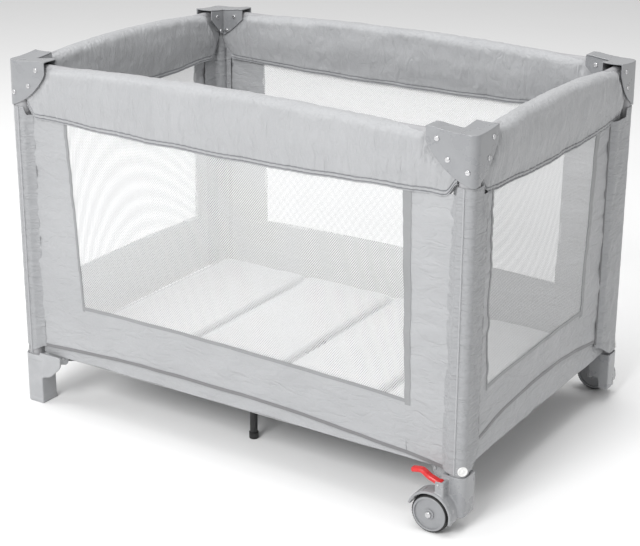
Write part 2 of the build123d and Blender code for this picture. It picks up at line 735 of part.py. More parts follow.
def main():
    os.makedirs("parts", exist_ok=True)
    for corner in CORNERS:
        write(f"corner_outer_{corner}", to_corner(corner_outer(corner), corner))
        write(f"corner_inner_{corner}", to_corner(corner_inner(corner), corner))
        write(f"corner_fasteners_{corner}", *corner_fasteners(corner))
        write(f"post_{corner}", post(corner))
        write(f"strut_{corner}", strut(corner))
    for corner in ("front_left", "rear_left"):
        write(f"foot_{corner}", foot(corner))
    for corner in ("front_right", "rear_right"):
        write(f"caster_housing_{corner}", caster_housing(corner))
        write(f"wheel_rim_{corner}", wheel_rim(corner))
        write(f"wheel_tyre_{corner}", wheel_tyre(corner))
        write(f"brake_lever_{corner}", brake_lever(corner))
    build_rails()
    write("hub", hub())
    write("hub_pins", *hub_pins())
    write("centre_leg_rear", *centre_leg(1))
    write("centre_leg_front", *centre_leg(-1))
    write("lift_strap", lift_strap())
    write("side_rear", side_long())
    write("side_front", mirror(side_long(), about=Plane.XZ))
    write("side_left", Rotation(0, 0, 90) * side_short())
    write("side_right", Rotation(0, 0, -90) * side_short())
    write("floor_sheet", floor_sheet())
    for index in range(4):
        write(f"mattress_panel_{index + 1}", mattress_panel(index))


main()
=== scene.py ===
# Travel play yard: sewn body, padded rail covers, mattress, wheels and finishes round the frame.
import json
import math

import bpy
from mathutils import Euler, Matrix, Vector, noise

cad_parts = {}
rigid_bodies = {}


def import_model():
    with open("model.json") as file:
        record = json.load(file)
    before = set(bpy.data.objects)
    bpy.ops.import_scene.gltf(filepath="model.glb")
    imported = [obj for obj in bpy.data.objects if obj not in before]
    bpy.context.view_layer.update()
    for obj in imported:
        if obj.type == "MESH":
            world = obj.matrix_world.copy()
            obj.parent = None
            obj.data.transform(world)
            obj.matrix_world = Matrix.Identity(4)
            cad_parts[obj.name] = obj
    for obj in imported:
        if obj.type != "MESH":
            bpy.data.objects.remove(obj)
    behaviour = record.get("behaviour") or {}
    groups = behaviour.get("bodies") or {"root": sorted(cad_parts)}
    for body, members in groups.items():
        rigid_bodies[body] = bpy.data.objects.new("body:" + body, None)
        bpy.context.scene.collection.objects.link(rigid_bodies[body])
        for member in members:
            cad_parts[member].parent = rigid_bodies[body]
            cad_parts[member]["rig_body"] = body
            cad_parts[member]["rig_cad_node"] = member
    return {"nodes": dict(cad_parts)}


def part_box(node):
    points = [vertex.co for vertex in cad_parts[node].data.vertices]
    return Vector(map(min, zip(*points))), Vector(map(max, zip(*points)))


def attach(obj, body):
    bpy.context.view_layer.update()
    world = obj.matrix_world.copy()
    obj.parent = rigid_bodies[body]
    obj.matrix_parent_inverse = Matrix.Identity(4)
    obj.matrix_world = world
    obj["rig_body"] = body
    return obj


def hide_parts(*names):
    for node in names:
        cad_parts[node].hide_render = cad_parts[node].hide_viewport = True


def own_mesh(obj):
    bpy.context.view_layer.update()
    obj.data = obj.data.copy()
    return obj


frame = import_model()
bpy.ops.object.select_all(action="DESELECT")
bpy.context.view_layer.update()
print("frame loaded:", len(frame["nodes"]), "nodes")

# places taken from the frame; the rear right corner stands for all four
cornerSigns = {"front_left": (-1, -1), "front_right": (1, -1), "rear_left": (-1, 1), "rear_right": (1, 1)}
postLow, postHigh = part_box("post_rear_right")
casingLow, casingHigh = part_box("corner_outer_rear_right")
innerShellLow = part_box("corner_inner_rear_right")[0]
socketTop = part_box("caster_housing_rear_right")[1].z
longLow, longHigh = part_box("side_rear")
shortLow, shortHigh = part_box("side_right")
latchReach = 0.05  # from a latch's middle to its pivots
panelInset = 0.014  # side panels lie this far behind the casings' faces
# a cover's end along its side, and a rail pivot's distance from the casing's end, on x and y sides
spanSet = {"x": {"coverEnd": 0.497, "pivotInset": 0.077}, "y": {"coverEnd": 0.3185, "pivotInset": 0.064}}

# out is the distance of a side's rail and panel from the middle of the yard
sides = {
    "front": {"axis": "x", "sign": -1, "bodies": ("post_front_left", "post_front_right"),
              "windowTop": (-0.398, 0.390), "windowFoot": (-0.372, 0.404),
              "hem": (0.133, 0.147, 0.117), "windowSill": (0.243, 0.246, 0.229)},
    "rear": {"axis": "x", "sign": 1, "bodies": ("post_rear_left", "post_rear_right"),
             "windowTop": (-0.394, 0.394), "windowFoot": (-0.386, 0.388),
             "hem": (0.122, 0.147, 0.118), "windowSill": (0.236, 0.247, 0.234)},
    "left": {"axis": "y", "sign": -1, "bodies": ("post_front_left", "post_rear_left"),
             "windowTop": (-0.256, 0.248), "windowFoot": (-0.252, 0.244),
             "hem": (0.140, 0.172, 0.146), "windowSill": (0.252, 0.260, 0.252)},
    "right": {"axis": "y", "sign": 1, "bodies": ("post_front_right", "post_rear_right"),
              "windowTop": (-0.266, 0.196), "windowFoot": (-0.258, 0.168),
              "hem": (0.150, 0.183, 0.147), "windowSill": (0.254, 0.262, 0.254)},
}
for side, facts in sides.items():
    isLong = facts["axis"] == "x"
    span = spanSet[facts["axis"]]
    facts["rail"] = (longLow.y + longHigh.y) / 2 if isLong else (shortLow.x + shortHigh.x) / 2
    facts["face"] = (casingHigh.y if isLong else casingHigh.x) - panelInset
    facts["reach"] = longHigh.x if isLong else shortHigh.y
    facts["coverEnd"] = span["coverEnd"]
    facts["casing"] = casingHigh.x if isLong else casingHigh.y
    facts["wing"] = casingHigh.x - casingLow.x if isLong else casingHigh.y - casingLow.y
    facts["pivot"] = facts["casing"] - span["pivotInset"]


# ---- helpers
def sidePoint(side, along, out, z):
    facts = sides[side]
    if facts["axis"] == "x":
        return Vector((along, facts["sign"] * out, z))
    return Vector((facts["sign"] * out, along, z))


def smooth(t):
    t = min(max(t, 0.0), 1.0)
    return t * t * (3 - 2 * t)


def mix(a, b, t):
    return a + (b - a) * t


def arched(three, t):
    # a bow through three heights: left end, middle, right end
    left, middle, right = three
    return mix(left, right, t) + (middle - (left + right) / 2) * 4 * t * (1 - t)


def ripple(x, y, z):
    return noise.fractal(Vector((x, y, z)), 0.8, 2.1, 3)


def pick(piece):
    bpy.ops.object.select_all(action="DESELECT")
    piece.select_set(True)
    bpy.context.view_layer.objects.active = piece


def edit(piece, *steps):
    # runs mesh operators on the whole piece
    pick(piece)
    bpy.ops.object.mode_set(mode="EDIT")
    bpy.ops.mesh.select_all(action="SELECT")
    for operator, values in steps:
        operator(**values)
    bpy.ops.object.mode_set(mode="OBJECT")


def editFaces(piece, chosen, *steps):
    # runs mesh operators on the faces that chosen(face) picks
    pick(piece)
    bpy.ops.object.mode_set(mode="EDIT")
    bpy.ops.mesh.select_all(action="DESELECT")
    bpy.ops.object.mode_set(mode="OBJECT")
    for face in piece.data.polygons:
        face.select = chosen(face)
    bpy.ops.object.mode_set(mode="EDIT")
    bpy.ops.mesh.select_mode(type="FACE")
    for operator, values in steps:
        operator(**values)
    bpy.ops.object.mode_set(mode="OBJECT")


def applyModifier(piece, kind, **values):
    pick(piece)
    modifier = piece.modifiers.new(kind.title(), kind)
    for key, value in values.items():
        setattr(modifier, key, value)
    bpy.ops.object.modifier_apply(modifier=modifier.name)


def shapedGrid(name, columns, rows, place):
    # a grid whose own two directions, 0 to 1, are laid out by place(u, v)
    bpy.ops.object.select_all(action="DESELECT")
    bpy.ops.mesh.primitive_grid_add(x_subdivisions=columns, y_subdivisions=rows, size=2)
    piece = bpy.context.object
    piece.name = piece.data.name = name
    for point in piece.data.vertices:
        point.co = place((point.co.x + 1) / 2, (point.co.y + 1) / 2)
    return piece


def faceAway(piece, direction):
    # turns an open sheet so that its front looks along direction
    total = sum((face.normal * face.area for face in piece.data.polygons), Vector())
    if total.dot(direction) < 0:
        edit(piece, (bpy.ops.mesh.flip_normals, {}))


def closeShell(piece):
    edit(piece, (bpy.ops.mesh.remove_doubles, {"threshold": 0.00004}),
         (bpy.ops.mesh.fill_holes, {"sides": 0}),
         (bpy.ops.mesh.normals_make_consistent, {"inside": False}))


def dress(piece, body, finish, angle=45):
    pick(piece)
    bpy.ops.object.shade_smooth_by_angle(angle=math.radians(angle))
    piece.data.materials.clear()
    piece.data.materials.append(finish)
    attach(piece, body)
    return piece


# ---- shader groups
def addNode(tree, kind, sockets=None, **settings):
    made = tree.nodes.new(kind)
    for key, value in settings.items():
        setattr(made, key, value)
    for key, value in (sockets or {}).items():
        made.inputs[key].default_value = value
    return made


def newGroup(name, inputs, outputs):
    group = bpy.data.node_groups.new(name, "ShaderNodeTree")
    for socketName, kind, value in inputs:
        socket = group.interface.new_socket(socketName, in_out="INPUT", socket_type=kind)
        if value is not None:
            socket.default_value = value
    for socketName, kind in outputs:
        group.interface.new_socket(socketName, in_out="OUTPUT", socket_type=kind)
    return group, group.nodes.new("NodeGroupInput"), group.nodes.new("NodeGroupOutput")


def mathNode(tree, operation, first, second=None):
    made = addNode(tree, "ShaderNodeMath", operation=operation)
    for index, value in enumerate((first, second)):
        if value is None:
            continue
        if isinstance(value, (int, float)):
            made.inputs[index].default_value = value
        else:
            tree.links.new(value, made.inputs[index])
    return made.outputs[0]


def makeWeave():
    # crossed threads: Height for bump, and Shade, painted shade that lies low between the threads, mixed
    # with the threads' uneven slub
    group, given, out = newGroup("weave", [("Vector", "NodeSocketVector", None),
                                           ("Pitch", "NodeSocketFloat", 0.0008)],
                                 [("Height", "NodeSocketFloat"), ("Shade", "NodeSocketFloat")])
    turns = mathNode(group, "DIVIDE", 2 * math.pi, given.outputs["Pitch"])
    waves = []
    for direction in ((0.7, 0.7, 0.7), (0.7, -0.7, 0.05)):
        along = addNode(group, "ShaderNodeVectorMath", {1: direction}, operation="DOT_PRODUCT")
        group.links.new(given.outputs["Vector"], along.inputs[0])
        phase = mathNode(group, "MULTIPLY", along.outputs["Value"], turns)
        waves.append(mathNode(group, "SINE", phase))
    crossed = mathNode(group, "MULTIPLY", waves[0], waves[1])
    height = mathNode(group, "MULTIPLY_ADD", crossed, 0.5)
    height.node.inputs[2].default_value = 0.5
    slub = addNode(group, "ShaderNodeTexNoise", {"Scale": 260.0, "Detail": 2.0})
    group.links.new(given.outputs["Vector"], slub.inputs["Vector"])
    # painted shade between the threads, varied by the slub noise
    shade = mathNode(group, "MULTIPLY", height, slub.outputs["Fac"])
    group.links.new(height, out.inputs["Height"])
    group.links.new(shade, out.inputs["Shade"])
    return group


def makeCreases():
    # soft handling creases, stretched by the scale that the material gives
    group, given, out = newGroup("creases", [("Vector", "NodeSocketVector", None),
                                             ("Stretch", "NodeSocketVector", (20.0, 20.0, 60.0)),
                                             ("Sharpness", "NodeSocketFloat", 1.0)],
                                 [("Height", "NodeSocketFloat")])
    scaled = addNode(group, "ShaderNodeVectorMath", operation="MULTIPLY")
    group.links.new(given.outputs["Vector"], scaled.inputs[0])
    group.links.new(given.outputs["Stretch"], scaled.inputs[1])
    broad = addNode(group, "ShaderNodeTexNoise", {"Scale": 1.0, "Detail": 3.0, "Roughness": 0.5,
                                                  "Distortion": 0.6})
    group.links.new(scaled.outputs[0], broad.inputs["Vector"])
    centred = mathNode(group, "SUBTRACT", broad.outputs["Fac"], 0.5)
    ridge = mathNode(group, "ABSOLUTE", centred)
    shaped = mathNode(group, "POWER", ridge, given.outputs["Sharpness"])
    group.links.new(shaped, out.inputs["Height"])
    return group


def makeWear():
    # a mask of uneven handling marks and dust, most of it faint
    group, given, out = newGroup("wear", [("Vector", "NodeSocketVector", None),
                                          ("Size", "NodeSocketFloat", 14.0)],
                                 [("Mask", "NodeSocketFloat"), ("Grain", "NodeSocketFloat")])
    cloud = addNode(group, "ShaderNodeTexNoise", {"Detail": 5.0, "Roughness": 0.62})
    group.links.new(given.outputs["Vector"], cloud.inputs["Vector"])
    group.links.new(given.outputs["Size"], cloud.inputs["Scale"])
    ramp = addNode(group, "ShaderNodeMapRange", {"From Min": 0.42, "From Max": 0.78})
    group.links.new(cloud.outputs["Fac"], ramp.inputs["Value"])
    grain = addNode(group, "ShaderNodeTexNoise", {"Scale": 1500.0, "Detail": 1.0})
    group.links.new(given.outputs["Vector"], grain.inputs["Vector"])
    group.links.new(ramp.outputs["Result"], out.inputs["Mask"])
    group.links.new(grain.outputs["Fac"], out.inputs["Grain"])
    return group


weaveGroup = makeWeave()
creaseGroup = makeCreases()
wearGroup = makeWear()


def newMaterial(name, roughness, metallic=0.0, specular=0.5):
    made = bpy.data.materials.new(name)
    made.use_nodes = True
    tree = made.node_tree
    shader = tree.nodes["Principled BSDF"]
    shader.inputs["Roughness"].default_value = roughness
    shader.inputs["Metallic"].default_value = metallic
    shader.inputs["Specular IOR Level"].default_value = specular
    where = addNode(tree, "ShaderNodeTexCoord").outputs["Object"]
    return made, tree, shader, where


def useGroup(tree, group, where, **values):
    made = addNode(tree, "ShaderNodeGroup", node_tree=group)
    tree.links.new(where, made.inputs["Vector"])
    for key, value in values.items():
        made.inputs[key].default_value = value
    return made


def blendColours(tree, mask, low, high, shader):
    blend = addNode(tree, "ShaderNodeMix", data_type="RGBA")
    blend.inputs[6].default_value = (*low, 1)
    blend.inputs[7].default_value = (*high, 1)
    tree.links.new(mask, blend.inputs[0])
    tree.links.new(blend.outputs[2], shader.inputs["Base Color"])


def bumpFrom(tree, shader, *layers):
    # layers are (height socket, distance in metres, strength), the coarsest first
    last = None
    for height, distance, strength in layers:
        bump = addNode(tree, "ShaderNodeBump", {"Strength": strength, "Distance": distance})
        tree.links.new(height, bump.inputs["Height"])
        if last:
            tree.links.new(last.outputs["Normal"], bump.inputs["Normal"])
        last = bump
    tree.links.new(last.outputs["Normal"], shader.inputs["Normal"])


def clothFinish(name, low, high, stretch, creaseDepth, pitch=0.0009, roughness=0.46, sheen=0.2,
                seams=None):
    made, tree, shader, where = newMaterial(name, roughness, specular=0.45)
    shader.inputs["Sheen Weight"].default_value = sheen
    shader.inputs["Sheen Roughness"].default_value = 0.4
    weave = useGroup(tree, weaveGroup, where, Pitch=pitch)
    creases = useGroup(tree, creaseGroup, where, Stretch=stretch, Sharpness=0.8)
    wear = useGroup(tree, wearGroup, where, Size=9.0)
    marks = mathNode(tree, "MULTIPLY", wear.outputs["Mask"], 0.45)
    # colour darkens with the weave's painted shade between the threads and with the faint handling marks
    shade = mathNode(tree, "MULTIPLY_ADD", weave.outputs["Shade"], 0.6)
    tree.links.new(marks, shade.node.inputs[2])
    if seams:
        mask = addNode(tree, "ShaderNodeAttribute", attribute_name=seams)
        dark = mathNode(tree, "MULTIPLY", mask.outputs["Fac"], -3.5)
        shade = mathNode(tree, "ADD", shade, dark)
        shade.node.use_clamp = False
        stretched = addNode(tree, "ShaderNodeMapRange", {"From Min": -3.5, "From Max": 1.0})
        tree.links.new(shade, stretched.inputs["Value"])
        shade = stretched.outputs["Result"]
        low = tuple(low[k] - 3.5 * (high[k] - low[k]) for k in range(3))
    blendColours(tree, shade, low, high, shader)
    bumpFrom(tree, shader, (creases.outputs["Height"], creaseDepth, 0.8),
             (weave.outputs["Height"], 0.0002, 0.5))
    return made


def wornSurface(tree, shader, where, size, low, high, roughness, grain):
    # handling marks that change the colour and dull the gloss; roughness and grain are pairs
    wear = useGroup(tree, wearGroup, where, Size=size)
    blendColours(tree, wear.outputs["Mask"], low, high, shader)
    rough = addNode(tree, "ShaderNodeMapRange", {"To Min": roughness[0], "To Max": sum(roughness)})
    tree.links.new(wear.outputs["Mask"], rough.inputs["Value"])
    tree.links.new(rough.outputs["Result"], shader.inputs["Roughness"])
    bumpFrom(tree, shader, (wear.outputs["Grain"], *grain))


def mouldedFinish(name, low, high, roughness, grain=0.00008, specular=0.5, coat=0.0):
    made, tree, shader, where = newMaterial(name, roughness, specular=specular)
    shader.inputs["Coat Weight"].default_value = coat
    wornSurface(tree, shader, where, 22.0, low, high, (roughness, 0.16), (grain, 0.35))
    return made


def metalFinish(name, low, high, roughness, metallic=1.0):
    made, tree, shader, where = newMaterial(name, roughness, metallic)
    wornSurface(tree, shader, where, 40.0, low, high, (roughness, 0.2), (0.00004, 0.3))
    return made


def netFinish(name, thread, pitch, open_):
    # knitted net: diagonal threads with see-through holes between
    made, tree, shader, where = newMaterial(name, 0.6, specular=0.3)
    turns = math.pi / pitch
    lines = []
    for direction in ((1.0, 1.0, 0.8), (1.0, 1.0, -0.8)):
        along = addNode(tree, "ShaderNodeVectorMath", {1: direction}, operation="DOT_PRODUCT")
        tree.links.new(where, along.inputs[0])
        lines.append(mathNode(tree, "SINE", mathNode(tree, "MULTIPLY", along.outputs["Value"], turns)))
    hole = mathNode(tree, "ABSOLUTE", mathNode(tree, "MULTIPLY", lines[0], lines[1]))
    solid = addNode(tree, "ShaderNodeMapRange", {"From Min": open_, "From Max": open_ + 0.1,
                                                 "To Min": 1.0, "To Max": 0.0})
    tree.links.new(hole, solid.inputs["Value"])
    tree.links.new(solid.outputs["Result"], shader.inputs["Alpha"])
    # threads painted darker towards the holes, the shade of their round sides
    blendColours(tree, hole, thread, tuple(0.8 * c for c in thread), shader)
    bumpFrom(tree, shader, (solid.outputs["Result"], 0.0004, 0.5))
    return made


finishes = {
    "bodyCloth": clothFinish("silverCloth", (0.345, 0.35, 0.36), (0.41, 0.415, 0.425), (20, 20, 44), 0.006,
                             roughness=0.40),
    "coverCloth": clothFinish("coverCloth", (0.345, 0.35, 0.36), (0.41, 0.415, 0.425), (60, 60, 22), 0.005,
                              roughness=0.38, seams="seamMask"),
    "sleeveCloth": clothFinish("sleeveCloth", (0.29, 0.295, 0.305), (0.35, 0.355, 0.365), (24, 24, 90),
                               0.006, roughness=0.40),
    "tape": clothFinish("edgeTape", (0.235, 0.24, 0.245), (0.29, 0.295, 0.30), (30, 30, 30), 0.0008, 0.0016),
    "darkBinding": clothFinish("darkBinding", (0.16, 0.16, 0.165), (0.22, 0.22, 0.225), (30, 30, 30),
                               0.0006, 0.0014),
    "matCloth": clothFinish("matCloth", (0.42, 0.425, 0.43), (0.50, 0.505, 0.51), (14, 14, 14), 0.003),
    "floorCloth": clothFinish("floorCloth", (0.33, 0.335, 0.34), (0.39, 0.395, 0.40), (18, 18, 18), 0.003),
    "strapWeb": clothFinish("strapWeb", (0.03, 0.03, 0.032), (0.07, 0.07, 0.072), (30, 30, 30), 0.0006,
                            0.002),
    "net": netFinish("windowNet", (0.74, 0.745, 0.75), 0.0046, 0.36),
    "casing": mouldedFinish("casingPlastic", (0.235, 0.24, 0.25), (0.275, 0.28, 0.29), 0.26, coat=0.4),
    "footPlastic": mouldedFinish("footPlastic", (0.34, 0.345, 0.355), (0.40, 0.405, 0.415), 0.38),
    "casterPlastic": mouldedFinish("casterPlastic", (0.27, 0.275, 0.285), (0.32, 0.325, 0.335), 0.24,
                                   coat=0.35),
    "wheelPlastic": mouldedFinish("wheelPlastic", (0.25, 0.255, 0.265), (0.31, 0.315, 0.325), 0.32),
    "tyre": mouldedFinish("tyreRubber", (0.010, 0.010, 0.011), (0.028, 0.027, 0.026), 0.55, 0.0002),
    "red": mouldedFinish("redPlastic", (0.56, 0.010, 0.012), (0.62, 0.02, 0.02), 0.25, coat=0.3),
    "black": mouldedFinish("blackPlastic", (0.012, 0.012, 0.013), (0.03, 0.03, 0.03), 0.40),
    "button": mouldedFinish("buttonPlastic", (0.35, 0.02, 0.02), (0.42, 0.04, 0.04), 0.35),
    "snap": mouldedFinish("snapPlastic", (0.72, 0.72, 0.71), (0.78, 0.78, 0.77), 0.3, coat=0.2),
    "bright": metalFinish("brightSteel", (0.62, 0.62, 0.63), (0.50, 0.50, 0.50), 0.24),
    "blackPaint": metalFinish("blackPaint", (0.010, 0.010, 0.011), (0.028, 0.028, 0.028), 0.34, 0.0),
    "greyPaint": metalFinish("greyPaint", (0.30, 0.30, 0.31), (0.36, 0.36, 0.37), 0.36, 0.0),
}
print("materials made:", len(finishes))

# ---- rail covers
coverSet = {"top": (0.752, 0.766), "foot": (0.640, 0.631), "half": 0.0203, "footHalf": 0.0085,
            "tuckHalf": 0.0140, "radius": 0.0175, "step": 0.0042, "rounds": 60, "seamBand": 0.014,
            "seamShare": 0.42, "seams": (0.0030, 0.0098), "loop": (0.40, 0.56, 0.96), "crown": 0.9,
            "footDip": 0.0014, "footWander": 0.0022, "bulge": 0.0011, "lean": 0.0020, "riseRate": 1.25,
            "endRise": 0.026, "endRun": 0.030, "tuckStart": 0.014, "tuckRun": 0.011, "tuckDrop": 0.016,
            "tuckFade": 0.012, "tuckedFolds": 0.8}
wingSet = {"drop": 0.027, "inset": 0.006, "power": 0.82}
# depths of a cover's folds in metres, with how often they come along it and up it
coverFoldSet = {"gather": {"depth": 0.0016, "often": 610, "wander": 2.2, "along": 40, "up": 9,
                           "clear": 0.004, "reach": 0.035, "rise": 0.09},
                "long": {"depth": 0.0026, "along": 11, "up": 24},
                "fine": {"depth": 0.0016, "along": 46, "up": 11},
                "pucker": {"depth": 0.0009, "often": 420, "wander": 3, "along": 22, "height": 0.010,
                           "spread": 0.0002},
                "top": {"depth": 0.0012, "along": 75, "start": 0.040, "run": 0.03},
                "seam": {"depth": 0.0013, "width": 0.0011, "mark": 0.0013}}
coverSeeds = {"front": 3.1, "rear": 7.7, "left": 11.3, "right": 17.9}


def wingOutline(distance, reach):
    # height of a casing's lower edge, by the distance from its wing's end towards the corner
    tip, shoulder = casingLow.z, casingHigh.z - wingSet["drop"]
    t = min(max(distance / (reach - wingSet["inset"]), 0.0), 1.0)
    return shoulder + (tip - shoulder) * math.sin(t * math.pi / 2) ** wingSet["power"]


def coverBow(side, along):
    # 1 in the middle of a side, 0 where its cover meets the casings
    facts = sides[side]
    return 1 - min(abs(along) / (facts["casing"] - facts["wing"]), 1.0) ** 2


def coverFoot(side, along):
    far = abs(along)
    foot = mix(coverSet["foot"][0], coverSet["foot"][1], coverBow(side, along))
    nearEnd = smooth((far - sides[side]["coverEnd"] + coverSet["endRun"]) / coverSet["endRun"])
    foot += coverSet["endRise"] * nearEnd ** 2
    return foot + coverSet["footWander"] * noise.noise(Vector((along * 14, coverSeeds[side], 0.0)))


def climb(t, foot, top):
    # height up a cover's face: close rows over its foot seam, then even ones
    share, band = coverSet["seamShare"], coverSet["seamBand"]
    if t < share:
        return foot + band * t / share
    return mix(foot + band, top, (t - share) / (1 - share))


def coverLoop(v, foot, top):
    # height, sideways share and facing round a cover: outer face, top, inner face, foot
    radius = coverSet["radius"]
    outerEnd, innerStart, footStart = coverSet["loop"]
    if v < outerEnd:
        return climb(v / outerEnd, foot, top - radius), 1.0, 1.0
    if v < innerStart:
        turn = (v - outerEnd) / (innerStart - outerEnd) * math.pi
        z = top - radius + radius * math.sin(turn) ** coverSet["crown"]
        return z, math.cos(turn), math.cos(turn)
    if v < footStart:
        return climb(1 - (v - innerStart) / outerEnd, foot, top - radius), -1.0, -1.0
    t = (v - footStart) / (1 - footStart)
    return foot - coverSet["footDip"] * math.sin(t * math.pi), mix(-1.0, 1.0, t), 0.0


def coverFolds(side, along, z, foot, top, face):
    # gathers by the casings, a few long soft folds, fine creases, puckers and stitching at the foot
    facts, seed = sides[side], coverSeeds[side]
    gather, long, fine, pucker, crease, stitch = coverFoldSet.values()
    clear = facts["casing"] - facts["wing"] - gather["clear"] - abs(along)
    nearEnd = math.exp(-max(clear, 0.0) / gather["reach"])
    wander = noise.noise(Vector((along * gather["along"], z * gather["up"], seed)))
    wave = math.sin(along * gather["often"] + gather["wander"] * wander)
    lift = gather["depth"] * nearEnd * smooth((z - foot) / gather["rise"]) * wave
    lift += long["depth"] * ripple(along * long["along"], z * long["up"] + face, seed)
    lift += fine["depth"] * ripple(along * fine["along"], z * fine["up"], seed + 5 * face)
    wander = noise.noise(Vector((along * pucker["along"], seed, 4.0)))
    wave = math.sin(along * pucker["often"] + pucker["wander"] * wander)
    lift += pucker["depth"] * wave * math.exp(-(z - foot - pucker["height"]) ** 2 / pucker["spread"])
    nearTop = smooth((z - top + crease["start"]) / crease["run"])
    lift += crease["depth"] * ripple(along * crease["along"], seed, 2.0) * nearTop
    for seam in coverSet["seams"]:
        lift -= stitch["depth"] * math.exp(-((z - foot - seam) / stitch["width"]) ** 2) * abs(face)
    return lift


def coverPoint(side, along, v):
    facts = sides[side]
    wingStart = facts["casing"] - facts["wing"]
    far = abs(along)
    top = mix(coverSet["top"][0], coverSet["top"][1], coverBow(side, along))
    foot = coverFoot(side, along)
    z, outward, face = coverLoop(v, foot, top)
    rise = smooth((z - foot) / (top - foot - coverSet["radius"]) * coverSet["riseRate"])
    half = mix(coverSet["footHalf"], coverSet["half"], rise)
    half += coverSet["bulge"] * math.sin(rise * math.pi)
    # narrower where the cover tucks up inside the casing
    edge = wingOutline(far - wingStart, facts["wing"])
    tuck = smooth((far - wingStart + coverSet["tuckStart"]) / coverSet["tuckRun"])
    tuck *= smooth((z - edge + coverSet["tuckDrop"]) / coverSet["tuckFade"])
    half = mix(half, min(half, coverSet["tuckHalf"]), tuck)
    lift = coverFolds(side, along, z, foot, top, face) * (1 - coverSet["tuckedFolds"] * tuck)
    centre = facts["rail"] + (1 - rise) * coverSet["lean"]
    if v < coverSet["loop"][2]:
        z += 0.6 * lift * (1 - abs(face))
    return sidePoint(side, along, centre + outward * half + face * lift, z)


def markSeams(piece, side):
    # a mask that darkens the stitched lines along the foot
    facts = sides[side]
    mask = piece.data.attributes.new("seamMask", "FLOAT", "POINT")
    index = 0 if facts["axis"] == "x" else 1
    for k, point in enumerate(piece.data.vertices):
        foot = coverFoot(side, point.co[index])
        width = coverFoldSet["seam"]["mark"]
        mask.data[k].value = max(math.exp(-((point.co.z - foot - seam) / width) ** 2)
                                 for seam in coverSet["seams"])


def makeCoverPiece(side, name, start, end, body):
    count = max(3, round(abs(end - start) / coverSet["step"]))
    piece = shapedGrid(name, count, coverSet["rounds"],
                       lambda u, v: coverPoint(side, mix(start, end, u), v % 1.0))
    closeShell(piece)
    markSeams(piece, side)
    dress(piece, body, finishes["coverCloth"], 50)
    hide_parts("side_" + side)
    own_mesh(piece)


railEnds = {"front": ("left", "right"), "rear": ("left", "right"), "left": ("front", "rear"),
            "right": ("front", "rear")}
for side, facts in sides.items():
    gate = facts["pivot"] - 0.008
    for sign, end, body in zip((-1, 1), railEnds[side], facts["bodies"]):
        tube = f"rail_{side}_{end}"
        makeCoverPiece(side, f"cover_{side}_{end}", sign * latchReach, sign * gate, tube)
        makeCoverPiece(side, f"cover_end_{side}_{end}", sign * gate, sign * facts["coverEnd"], body)
    makeCoverPiece(side, f"cover_middle_{side}", -latchReach, latchReach, f"latch_{side}")
print("rail covers made")

# ---- side walls
wallSet = {"thickness": 0.0012, "tape": 0.005, "wideTape": 0.016, "tapeLift": 0.0009, "tuckTop": 0.646,
           "step": 0.007, "tapeStep": 0.004, "binding": 0.006, "bindingLift": 0.0008,
           "bindingThick": 0.003, "bindingStep": 0.0045, "liningLift": -0.0030, "liningThick": 0.0008,
           "liningStep": 0.012, "netLift": -0.0006, "netStep": 0.01, "lap": 0.004, "longKeep": 0.2078,
           "shortKeep": 0.2626}
wallSeeds = {"front": 21.0, "rear": 27.0, "left": 31.0, "right": 37.0}
# depths of a wall's folds in metres, with how often they come along it and up it
wallFoldSet = {"broad": {"depth": 0.0026, "along": 5, "up": 13},
               "fine": {"depth": 0.0013, "along": 13, "up": 38},
               "drape": {"depth": 0.0024, "along": 4, "slant": 0.6, "up": 21, "narrow": 2.2,
                         "inner": 0.15, "run": 0.12, "low": 0.2, "fade": 0.15}}


def wallLift(side, along, z):
    # how far the cloth stands off its flat plane: folds all over, and drapes by the posts
    seed = wallSeeds[side]
    broad, fine, drape = wallFoldSet.values()
    lift = broad["depth"] * ripple(along * broad["along"], z * broad["up"], seed)
    lift += fine["depth"] * ripple(along * fine["along"], z * fine["up"], seed + 4)
    byPost = smooth((abs(along) - sides[side]["reach"] + drape["inner"]) / drape["run"])
    wave = ripple(along * drape["along"] + drape["slant"] * z, z * drape["up"], seed + 9)
    fold = smooth(1 - abs(wave) * drape["narrow"])
    return lift + drape["depth"] * byPost * fold * smooth((z - drape["low"]) / drape["fade"])


def windowEdges(side, z):
    facts = sides[side]
    t = (z - 0.24) / 0.40
    return [mix(foot, top, t) for foot, top in zip(facts["windowFoot"], facts["windowTop"])]


def hemHeight(side, along):
    facts = sides[side]
    return arched(facts["hem"], (along / facts["reach"] + 1) / 2)


def sillHeight(side, along):
    facts = sides[side]
    return arched(facts["windowSill"], (along / facts["reach"] + 1) / 2)


def makeWallSheet(side, name, place, size, finish, body, lift=0.0, thickness=None, step=None,
                  liftShare=1.0):
    # place(u, v) gives the place along the side and the height
    facts = sides[side]
    step = step or wallSet["step"]

    def point(u, v):
        along, z = place(u, v)
        out = facts["face"] + lift + wallLift(side, along, z) * liftShare
        return sidePoint(side, along, out, z)

    piece = shapedGrid(name, max(2, round(size[0] / step)), max(2, round(size[1] / step)), point)
    faceAway(piece, sidePoint(side, 0, 1, 0))
    if thickness != 0:
        applyModifier(piece, "SOLIDIFY", thickness=thickness or wallSet["thickness"], offset=-1.0)
    dress(piece, body, finish)
    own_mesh(piece)
    return piece


